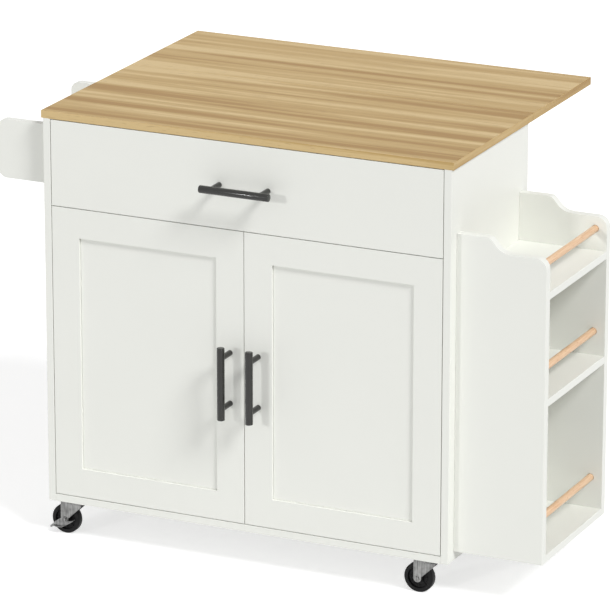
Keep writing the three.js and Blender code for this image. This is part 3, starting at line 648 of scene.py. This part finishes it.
for node in ("left_door", "right_door"):
    bm = bmesh.new()
    add_box(bm, *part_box(node))
    panel = min(bm.faces, key=lambda face: face.calc_center_median().y)
    bmesh.ops.inset_region(bm, faces=[panel], thickness=STILE, use_even_offset=True)
    bmesh.ops.inset_region(bm, faces=[panel], thickness=ROUTER_DRAFT, depth=-RECESS)
    bmesh.ops.inset_region(bm, faces=[panel], thickness=QUIRK / 2, depth=-QUIRK)
    bmesh.ops.inset_region(bm, faces=[panel], thickness=QUIRK / 2, depth=QUIRK)
    pockets = bmesh.new()
    for place in cup_places(node):
        add_bar(pockets, place + Vector((0, OVERSHOOT, 0)), -(CUP_DEPTH + OVERSHOOT), "y", CUP)
    stand_for(node, carve(bm, pockets), ease=DOOR_EASE)

# %% [markdown]
# ## Bar pulls
# A pull is a turned bar on two thinner posts, all powder coated together. The rims of the bar are
# rolled, so its ends catch a thin ring of light as the real ones do.

# %% Pulls
BAR = 0.015
POST = 0.01125
POST_SPACING = 0.1016  # 4 inches
BAR_RIM = 0.0012
BAR_SEGMENTS = 48
POST_SEGMENTS = 36
ROUND = 50.0  # degrees that an edge of a round or bent piece has to turn to count as sharp

for node in ("drawer_pull", "left_door_pull", "right_door_pull"):
    low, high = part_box(node)
    middle = (low + high) / 2
    along = "x" if node == "drawer_pull" else "z"
    index = "xyz".index(along)
    bar_start = Vector((middle.x, low.y + BAR / 2, middle.z))
    bar_start[index] = low[index]
    bm = bmesh.new()
    add_bar(bm, bar_start, high[index] - low[index], along, BAR, rim=BAR_RIM,
            segments=BAR_SEGMENTS)
    for side in (-1, 1):
        foot = Vector((middle.x, high.y, middle.z))
        foot[index] += side * POST_SPACING / 2
        add_bar(bm, foot, -(high.y - bar_start.y), "y", POST, segments=POST_SEGMENTS)
    stand_for(node, bm, sharp=ROUND)
print("pulls", round(high.z - low.z, 4), "m long")

# %% [markdown]
# ## Spice rack and towel rail
# The rack's two end panels have a high shoulder by the cabinet, an ogee and a rounded outer
# corner. The outline is drawn with one bezier curve for the ogee, the corner is a bevel, and the
# rod holes are cut a little wide, so that each beech rod sits in a thin dark ring as a dowel does.

# %% Rack end panels
SHOULDER_LENGTH = 0.0615
SHOULDER_DROP = 0.028
OGEE_LENGTH = 0.050
OGEE_LOWER_HANDLE = 0.7  # as a share of the ogee's length
OGEE_UPPER_HANDLE = 0.3
OGEE_POINTS = 28
RACK_CORNER = 0.022
CORNER_SEGMENTS = 12
ROD_PLAY = 0.0006
ON_LINE = 1e-5  # metres within which an edge counts as lying on a line


def rod_holes(rods):
    """Cutters a little wider and longer than the rods that will sit in them."""
    cutters = bmesh.new()
    for rod in rods:
        low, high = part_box(rod)
        start = Vector(((low.x + high.x) / 2, low.y - ROD_PLAY / 2, (low.z + high.z) / 2))
        add_bar(cutters, start, high.y - low.y + ROD_PLAY, "y", high.x - low.x + ROD_PLAY)
    return cutters


def round_corners(bm, radius, at_x, above):
    """Rounds the edges that lie along Y at one end of a plate, above a height."""
    edges = [e for e in bm.edges
             if all(abs(v.co.x - at_x) < ON_LINE for v in e.verts)
             and abs(e.verts[0].co.z - e.verts[1].co.z) < ON_LINE and e.verts[0].co.z > above]
    bmesh.ops.bevel(bm, geom=edges, offset=radius, segments=CORNER_SEGMENTS, profile=0.5,
                    affect="EDGES", material=-1)


rack_rods = ["rack_bottom_rod", "rack_middle_rod", "rack_top_rod"]
for node in ("rack_front_panel", "rack_rear_panel"):
    low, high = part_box(node)
    shoulder = high.z - SHOULDER_DROP
    ogee_start = low.x + SHOULDER_LENGTH
    ogee_end = ogee_start + OGEE_LENGTH
    ogee = interpolate_bezier(
        Vector((ogee_end, shoulder)),
        Vector((ogee_end - OGEE_LENGTH * OGEE_LOWER_HANDLE, shoulder)),
        Vector((ogee_start + OGEE_LENGTH * OGEE_UPPER_HANDLE, high.z)),
        Vector((ogee_start, high.z)),
        OGEE_POINTS,
    )
    outline = [(low.x, low.z), (high.x, low.z), (high.x, shoulder)]
    outline += [(point.x, point.y) for point in ogee] + [(low.x, high.z)]
    bm = bmesh.new()
    add_plate(bm, outline, low.y, high.y)
    round_corners(bm, RACK_CORNER, high.x, (low.z + high.z) / 2)
    stand_for(node, carve(bm, rod_holes(rack_rods)), ease=PAINTED_EASE)
print("rack panels", round(high.z - low.z, 3), "m high")

# %% [markdown]
# The towel rail's two plates have both outer corners rounded. The four rods are plain beech
# dowels with softened ends.

# %% Towel rail plates and all rods
TOWEL_CORNER = 0.018
ROD_RIM = 0.0008

for node in ("towel_bracket_front", "towel_bracket_rear"):
    low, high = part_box(node)
    bm = bmesh.new()
    add_box(bm, low, high)
    round_corners(bm, TOWEL_CORNER, low.x, low.z - TOWEL_CORNER)
    stand_for(node, carve(bm, rod_holes(["towel_rod"])), ease=PAINTED_EASE)
for node in rack_rods + ["towel_rod"]:
    low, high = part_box(node)
    bm = bmesh.new()
    start = Vector(((low.x + high.x) / 2, low.y, (low.z + high.z) / 2))
    add_bar(bm, start, high.y - low.y, "y", high.x - low.x, rim=ROD_RIM, segments=BAR_SEGMENTS)
    stand_for(node, bm, sharp=ROUND)
print("rods", round(high.y - low.y, 3), "m long")

# %% [markdown]
# ## Screws
# A pan head screw is a low cone with a round recess for the driver. All fittings share one small
# function, and the screws of one body in one place are gathered in one piece.

# %% Screw heads
HEAD_SLOPE = 0.7  # the top of a head against its foot
HEAD_SEGMENTS = 24
DRIVE = 0.16  # width of the flat round the driver's recess, against the head
DRIVE_SLOPE = 0.02  # width of the recess's wall, against the head
DRIVE_DEPTH = 0.5  # against the head's height


def add_screw(bm, place, axis, away, diameter, height):
    """Adds a pan head that stands off a face along an axis, with away 1 or -1."""
    verts = add_bar(bm, place, away * height, axis, diameter, segments=HEAD_SEGMENTS,
                    far_diameter=diameter * HEAD_SLOPE)
    index = "xyz".index(axis)
    faces = [f for v in verts for f in v.link_faces if len(f.verts) == HEAD_SEGMENTS]
    top = max(faces, key=lambda f: away * f.calc_center_median()[index])
    bmesh.ops.inset_region(bm, faces=[top], thickness=diameter * DRIVE)
    bmesh.ops.inset_region(bm, faces=[top], thickness=diameter * DRIVE_SLOPE,
                           depth=-height * DRIVE_DEPTH)


print("screw heads have", HEAD_SEGMENTS, "sides")

# %% [markdown]
# ## Drawer slides and door hinges
# The slides are bent channels. A concealed hinge has an arm on the cabinet and a cup in the
# door. Slides and arms keep the CAD's shapes, with the small radius that bending and casting
# leave.

# %% Slides and hinge arms
SHEET_EASE = 0.00025
ARM_EASE = 0.0006

for side in ("left", "right"):
    for part in ("slide_rail", "slide_runner"):
        stand_for(f"{side}_{part}", merged_copy(f"{side}_{part}"), ease=SHEET_EASE)
    for level in ("lower", "upper"):
        node = f"{side}_hinge_arm_{level}"
        stand_for(node, merged_copy(node), ease=ARM_EASE)

# %% [markdown]
# Each hinge arm sits on a plate with two wood screws, and has two smaller screws on its back that
# set it sideways and in depth. The shelf rests on four steel pins in the side panels.

# %% Hinge arm screws and shelf pins
PLATE_SCREW = 0.0075
PLATE_SCREW_HEIGHT = 0.0016
PLATE_SCREW_RISE = 0.018  # above and below the arm's middle
PLATE_SCREW_INSET = 0.017  # in front of the arm's rear end
PLATE_THICKNESS = 0.0025
ARM_SCREW = 0.006
ARM_SCREW_HEIGHT = 0.001
ARM_SCREW_INSETS = (0.007, 0.022)
ARM_HEIGHT = 0.009  # from the cabinet's wall to the back of the arm
SHELF_PIN = 0.005
SHELF_PIN_LENGTH = 0.009
SHELF_PIN_INSET = 0.04
SHELF_PIN_RIM = 0.0006
SHELF_PIN_SEGMENTS = 24

for side, away in (("left", 1), ("right", -1)):
    bm = bmesh.new()
    for level in ("lower", "upper"):
        low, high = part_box(f"{side}_hinge_arm_{level}")
        wall = low.x if away > 0 else high.x
        middle = (low.z + high.z) / 2
        for rise in (-PLATE_SCREW_RISE, PLATE_SCREW_RISE):
            place = Vector((wall + away * PLATE_THICKNESS, high.y - PLATE_SCREW_INSET,
                            middle + rise))
            add_screw(bm, place, "x", away, PLATE_SCREW, PLATE_SCREW_HEIGHT)
        for inset in ARM_SCREW_INSETS:
            place = Vector((wall + away * ARM_HEIGHT, high.y - inset, middle))
            add_screw(bm, place, "x", away, ARM_SCREW, ARM_SCREW_HEIGHT)
    add_piece(f"{side}_hinge_screws", bm, "cabinet", "nickel_steel")

bm = bmesh.new()
low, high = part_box("inner_shelf")
for x, away in ((low.x, 1), (high.x, -1)):
    for y in (low.y + SHELF_PIN_INSET, high.y - SHELF_PIN_INSET):
        add_bar(bm, Vector((x, y, low.z - SHELF_PIN / 2)), away * SHELF_PIN_LENGTH, "x", SHELF_PIN,
                rim=SHELF_PIN_RIM, segments=SHELF_PIN_SEGMENTS)
add_piece("shelf_pins", bm, "cabinet", "nickel_steel", sharp=ROUND)
print("shelf pins at", round(low.z, 3), "m")

# %% [markdown]
# The cup is a thin steel pressing with a flange and two screws. It is a lathe profile, spun about
# its axis, and rides on the door. It sits in its pocket with a little air all round.

# %% Hinge cups
CUP_WALL = 0.0008
CUP_LIP = 0.0012
CUP_AIR = 0.0001
CUP_AIR_BELOW = 0.0005
CUP_STEPS = 40
CUP_SCREW = 0.0068
CUP_SCREW_HEIGHT = 0.0014
CUP_SCREW_SPACING = 0.045
FLANGE_HALF = Vector((0.0055, 0, 0.0065))
FLANGE_CORNER = 0.004
FLANGE_SEGMENTS = 5


def add_cup(bm, place):
    """Adds an open steel cup sunk in the door's back, with its lip just proud of it."""
    radius = CUP / 2 - CUP_AIR
    floor = -CUP_DEPTH + CUP_AIR_BELOW
    profile = [(0, floor), (radius, floor), (radius, CUP_LIP), (radius - CUP_WALL, CUP_LIP),
               (radius - CUP_WALL, floor + CUP_WALL), (0, floor + CUP_WALL)]
    verts = [bm.verts.new(place + Vector((r, y, 0))) for r, y in profile]
    edges = [bm.edges.new(pair) for pair in zip(verts, verts[1:])]
    bmesh.ops.spin(bm, geom=verts + edges, cent=place, axis=(0, 1, 0), angle=2 * math.pi,
                   steps=CUP_STEPS, use_merge=True)


for node in ("left_door", "right_door"):
    places = cup_places(node)
    bm = bmesh.new()
    for place in places:
        add_cup(bm, place)
    bmesh.ops.remove_doubles(bm, verts=bm.verts, dist=SAME_POINT)
    bmesh.ops.recalc_face_normals(bm, faces=bm.faces)
    add_piece(node + "_hinge_cups", bm, body_of[node], "nickel_steel", sharp=ROUND)

    bm = bmesh.new()
    for place in places:
        for end in (-1, 1):
            pad = place + Vector((0, 0, end * CUP_SCREW_SPACING / 2))
            verts = add_box(bm, pad - FLANGE_HALF, pad + FLANGE_HALF + Vector((0, CUP_LIP, 0)))
            upright = [e for e in bm.edges if e.verts[0] in verts and e.verts[1] in verts
                       and abs(e.verts[0].co.y - e.verts[1].co.y) > CUP_LIP / 2]
            bmesh.ops.bevel(bm, geom=upright, offset=FLANGE_CORNER, segments=FLANGE_SEGMENTS,
                            profile=0.5, affect="EDGES", material=-1)
            add_screw(bm, pad + Vector((0, CUP_LIP, 0)), "y", 1, CUP_SCREW, CUP_SCREW_HEIGHT)
    add_piece(node + "_cup_screws", bm, body_of[node], "nickel_steel")
print("hinge cups", CUP * 1000, "mm")

# %% [markdown]
# ## Folding leaf brackets
# Each leaf bracket is a pair of zinc plated channels on a pin, held open by two straps. They keep
# the CAD's shapes, with the small radius that a bending tool leaves.

# %% Brackets
BEND_EASE = 0.0004

for side in ("left", "right"):
    for part in ("leg", "arm", "lower_link", "upper_link"):
        node = f"{side}_bracket_{part}"
        stand_for(node, merged_copy(node), ease=BEND_EASE, sharp=ROUND)
print("brackets on", body_of["left_bracket_leg"], "and", body_of["left_bracket_arm"])

# %% [markdown]
# Three screws hold each leg to the cabinet's back and three hold each arm under the leaf. They
# are placed from the corner pin.

# %% Bracket screws
BRACKET_SHEET = 0.002
BRACKET_SCREW = 0.0085
BRACKET_SCREW_HEIGHT = 0.001
LEG_DROPS = (0.028, 0.084, 0.140)  # below the corner pin
ARM_REACHES = (0.0437, 0.131, 0.2183)  # behind the corner pin
PIN_FROM_LEG_BACK = 0.010
PIN_FROM_LEG_TOP = 0.005

for side in ("left", "right"):
    low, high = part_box(f"{side}_bracket_leg")
    pin = Vector(((low.x + high.x) / 2, low.y + PIN_FROM_LEG_BACK, high.z - PIN_FROM_LEG_TOP))
    bm = bmesh.new()
    for drop in LEG_DROPS:
        add_screw(bm, Vector((pin.x, low.y + BRACKET_SHEET, pin.z - drop)), "y", 1,
                  BRACKET_SCREW, BRACKET_SCREW_HEIGHT)
    add_piece(f"{side}_leg_screws", bm, "cabinet", "zinc_steel")
    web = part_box(f"{side}_bracket_arm")[1].z - BRACKET_SHEET
    bm = bmesh.new()
    for reach in ARM_REACHES:
        add_screw(bm, Vector((pin.x, pin.y + reach, web)), "z", -1,
                  BRACKET_SCREW, BRACKET_SCREW_HEIGHT)
    add_piece(f"{side}_arm_screws", bm, "leaf", "zinc_steel")
print("bracket screws", len(LEG_DROPS) + len(ARM_REACHES), "on each bracket")

# %% [markdown]
# ## Casters
# A caster is a plate, a pressed fork on a ball race, and a moulded wheel on a riveted axle. Two
# of them have a brake lever. The wheel is one profile spun about the axle, with a raised ring on
# its disc and ribs between its hub and its rim.

# %% Wheels
WHEEL_SEGMENTS = 72
WHEEL_SHARP = 35.0
TREAD_ROUND = 0.0022
TREAD_ANGLES = (0, 22.5, 45, 67.5, 90)
HUB = 0.022
DISC = 0.006
RIM_DEPTH = 0.008
DRAFT = 0.001  # the slope of a wall that has to leave its mould
RIBS = 8
RIB_WALL = 0.002
RIB_INSET = 0.003
RING_RADIUS = 0.0165
RING = 0.0008
AXLE_BORE = 0.009
corners = ["front_left", "front_right", "rear_left", "rear_right"]


def add_wheel(bm, low, high):
    """Adds a wheel that fills a box, its axle along Y."""
    middle = (low + high) / 2
    radius = (high.z - low.z) / 2
    half = (high.y - low.y) / 2
    shoulder = [(radius - TREAD_ROUND * (1 - math.sin(a)), half - TREAD_ROUND * (1 - math.cos(a)))
                for a in map(math.radians, TREAD_ANGLES)]
    ring = [(RING_RADIUS + r, DISC / 2 + y)
            for r, y in ((-RING, 0), (-RING / 2, RING), (RING / 2, RING), (RING, 0))]
    side = [(AXLE_BORE / 2, half), (HUB / 2 - DRAFT, half), (HUB / 2, DISC / 2)] + ring + [
        (radius - RIM_DEPTH - DRAFT, DISC / 2), (radius - RIM_DEPTH, half)] + shoulder
    profile = side + [(r, -y) for r, y in reversed(side)]
    verts = [bm.verts.new(middle + Vector((r, y, 0))) for r, y in profile]
    edges = [bm.edges.new(pair) for pair in zip(verts, verts[1:] + verts[:1])]
    bmesh.ops.spin(bm, geom=verts + edges, cent=middle, axis=(0, 1, 0), angle=2 * math.pi,
                   steps=WHEEL_SEGMENTS, use_merge=True)
    bmesh.ops.remove_doubles(bm, verts=bm.verts, dist=SAME_POINT)
    bmesh.ops.recalc_face_normals(bm, faces=bm.faces)
    for i in range(RIBS):
        verts = add_box(bm, (HUB / 2 - DRAFT, RIB_INSET - half, -RIB_WALL / 2),
                        (radius - RIM_DEPTH + DRAFT, half - RIB_INSET, RIB_WALL / 2))
        turn = Matrix.Rotation(i * 2 * math.pi / RIBS, 3, "Y")
        bmesh.ops.rotate(bm, cent=(0, 0, 0), matrix=turn, verts=verts)
        bmesh.ops.translate(bm, vec=middle, verts=verts)


for corner in corners:
    bm = bmesh.new()
    add_wheel(bm, *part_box(corner + "_wheel"))
    stand_for(corner + "_wheel", bm, sharp=WHEEL_SHARP)
print("wheels", WHEEL_SEGMENTS, "steps round")

# %% [markdown]
# The pressed parts of the casters keep the CAD's shapes, eased as the brackets are. Only two
# corners have a brake lever.

# %% Plates, forks and levers
pressed = [node for corner in corners for node in (
    f"{corner}_caster_plate", f"{corner}_caster_fork", f"{corner}_brake_pedal") if node in body_of]
for node in pressed:
    stand_for(node, merged_copy(node), ease=BEND_EASE, sharp=ROUND)
print(len(pressed), "pressed caster parts")

# %% [markdown]
# Four screws hold each caster plate under the bottom panel.

# %% Caster screws
PLATE_SHEET = 0.0025
PLATE_INSET = 0.008
CASTER_SCREW = 0.0095
CASTER_SCREW_HEIGHT = 0.002

for corner in corners:
    low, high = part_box(corner + "_caster_plate")
    bm = bmesh.new()
    for x in (low.x + PLATE_INSET, high.x - PLATE_INSET):
        for y in (low.y + PLATE_INSET, high.y - PLATE_INSET):
            add_screw(bm, Vector((x, y, high.z - PLATE_SHEET)), "z", -1,
                      CASTER_SCREW, CASTER_SCREW_HEIGHT)
    add_piece(corner + "_caster_screws", bm, "cabinet", "zinc_steel")
print("caster plates", round(high.x - low.x, 3), "m wide, with four screws each")

# %% [markdown]
# ## Floor
# The photograph is a cut out on pure white, so the floor is a plain pale one that is lifted to
# white for the camera, for mirrors and for glass, and keeps the soft shadow under the island.

# %% Floor
FLOOR_COLOUR = "#dcdcdc"
FLOOR_ROUGHNESS = 0.9
FLOOR_LIFT = 0.6  # added for what looks at the floor, so that it shows white where it is lit
FLOOR_HALF = 30  # metres

floor_mesh = bpy.data.meshes.new("floor")
bm = bmesh.new()
bmesh.ops.create_grid(bm, x_segments=1, y_segments=1, size=FLOOR_HALF)
bm.to_mesh(floor_mesh)
bm.free()
floor = bpy.data.objects.new("floor", floor_mesh)
bpy.context.scene.collection.objects.link(floor)

floor_finish, tree, shader, _ = new_finish("studio_floor")
paths = add_node(tree, "ShaderNodeLightPath")
seen = add_node(tree, "ShaderNodeMath", {"operation": "MAXIMUM"},
                {0: paths.outputs["Is Camera Ray"], 1: paths.outputs["Is Glossy Ray"]})
seen = add_node(tree, "ShaderNodeMath", {"operation": "MAXIMUM"},
                {0: seen.outputs["Value"], 1: paths.outputs["Is Transmission Ray"]})
lift = add_node(tree, "ShaderNodeMath", {"operation": "MULTIPLY", 1: FLOOR_LIFT},
                {0: seen.outputs["Value"]})
tree.links.new(lift.outputs["Value"], shader.inputs["Emission Strength"])
shader.inputs["Emission Color"].default_value = (1, 1, 1, 1)
shader.inputs["Base Color"].default_value = linear(FLOOR_COLOUR)
shader.inputs["Roughness"].default_value = FLOOR_ROUGHNESS
shader.inputs["Specular IOR Level"].default_value = 0.0
floor_mesh.materials.append(floor_finish)
print("floor", 2 * FLOOR_HALF, "m wide")

# %% [markdown]
# ## World
# The world is pure white to what looks at it, and lights the island more softly: at the level
# where a white board, under the two lamps as well, renders about as it is painted.

# %% World
FILL = 0.417

world = bpy.data.worlds.new("studio")
bpy.context.scene.world = world
world.use_nodes = True
tree = world.node_tree
backdrop = next(n for n in tree.nodes if n.type == "BACKGROUND")
paths = add_node(tree, "ShaderNodeLightPath")
seen = add_node(tree, "ShaderNodeMath", {"operation": "MAXIMUM"},
                {0: paths.outputs["Is Camera Ray"], 1: paths.outputs["Is Glossy Ray"]})
seen = add_node(tree, "ShaderNodeMath", {"operation": "MAXIMUM"},
                {0: seen.outputs["Value"], 1: paths.outputs["Is Transmission Ray"]})
level = add_node(tree, "ShaderNodeMapRange", {"To Min": FILL, "To Max": 1.0},
                 {"Value": seen.outputs["Value"]})
tree.links.new(level.outputs["Result"], backdrop.inputs["Strength"])
backdrop.inputs["Color"].default_value = (1, 1, 1, 1)
print("world lights at", FILL)

# %% [markdown]
# ## Lamps
# One lamp stands in front and to the left, and throws the pulls' short shadows. A broader and
# stronger one stands high on the right. Both are distant, so their place is only a direction.

# %% Lamps
KEY_FROM = Vector((-0.37, -1.0, 0.29))
KEY_STRENGTH = 0.60
KEY_ANGLE = 5
SKY_FROM = Vector((0.64, -0.32, 0.70))
SKY_STRENGTH = 2.18
SKY_ANGLE = 16


def add_lamp(name, towards, strength, angle):
    """A distant lamp whose light comes from a direction, as wide as an angle in degrees."""
    lamp = bpy.data.lights.new(name, "SUN")
    lamp.energy = strength
    lamp.angle = math.radians(angle)
    holder = bpy.data.objects.new(name, lamp)
    holder.rotation_euler = towards.to_track_quat("Z", "Y").to_euler()
    bpy.context.scene.collection.objects.link(holder)


add_lamp("front_left_lamp", KEY_FROM, KEY_STRENGTH, KEY_ANGLE)
add_lamp("high_right_lamp", SKY_FROM, SKY_STRENGTH, SKY_ANGLE)
print("lamps at", KEY_STRENGTH, "and", SKY_STRENGTH)
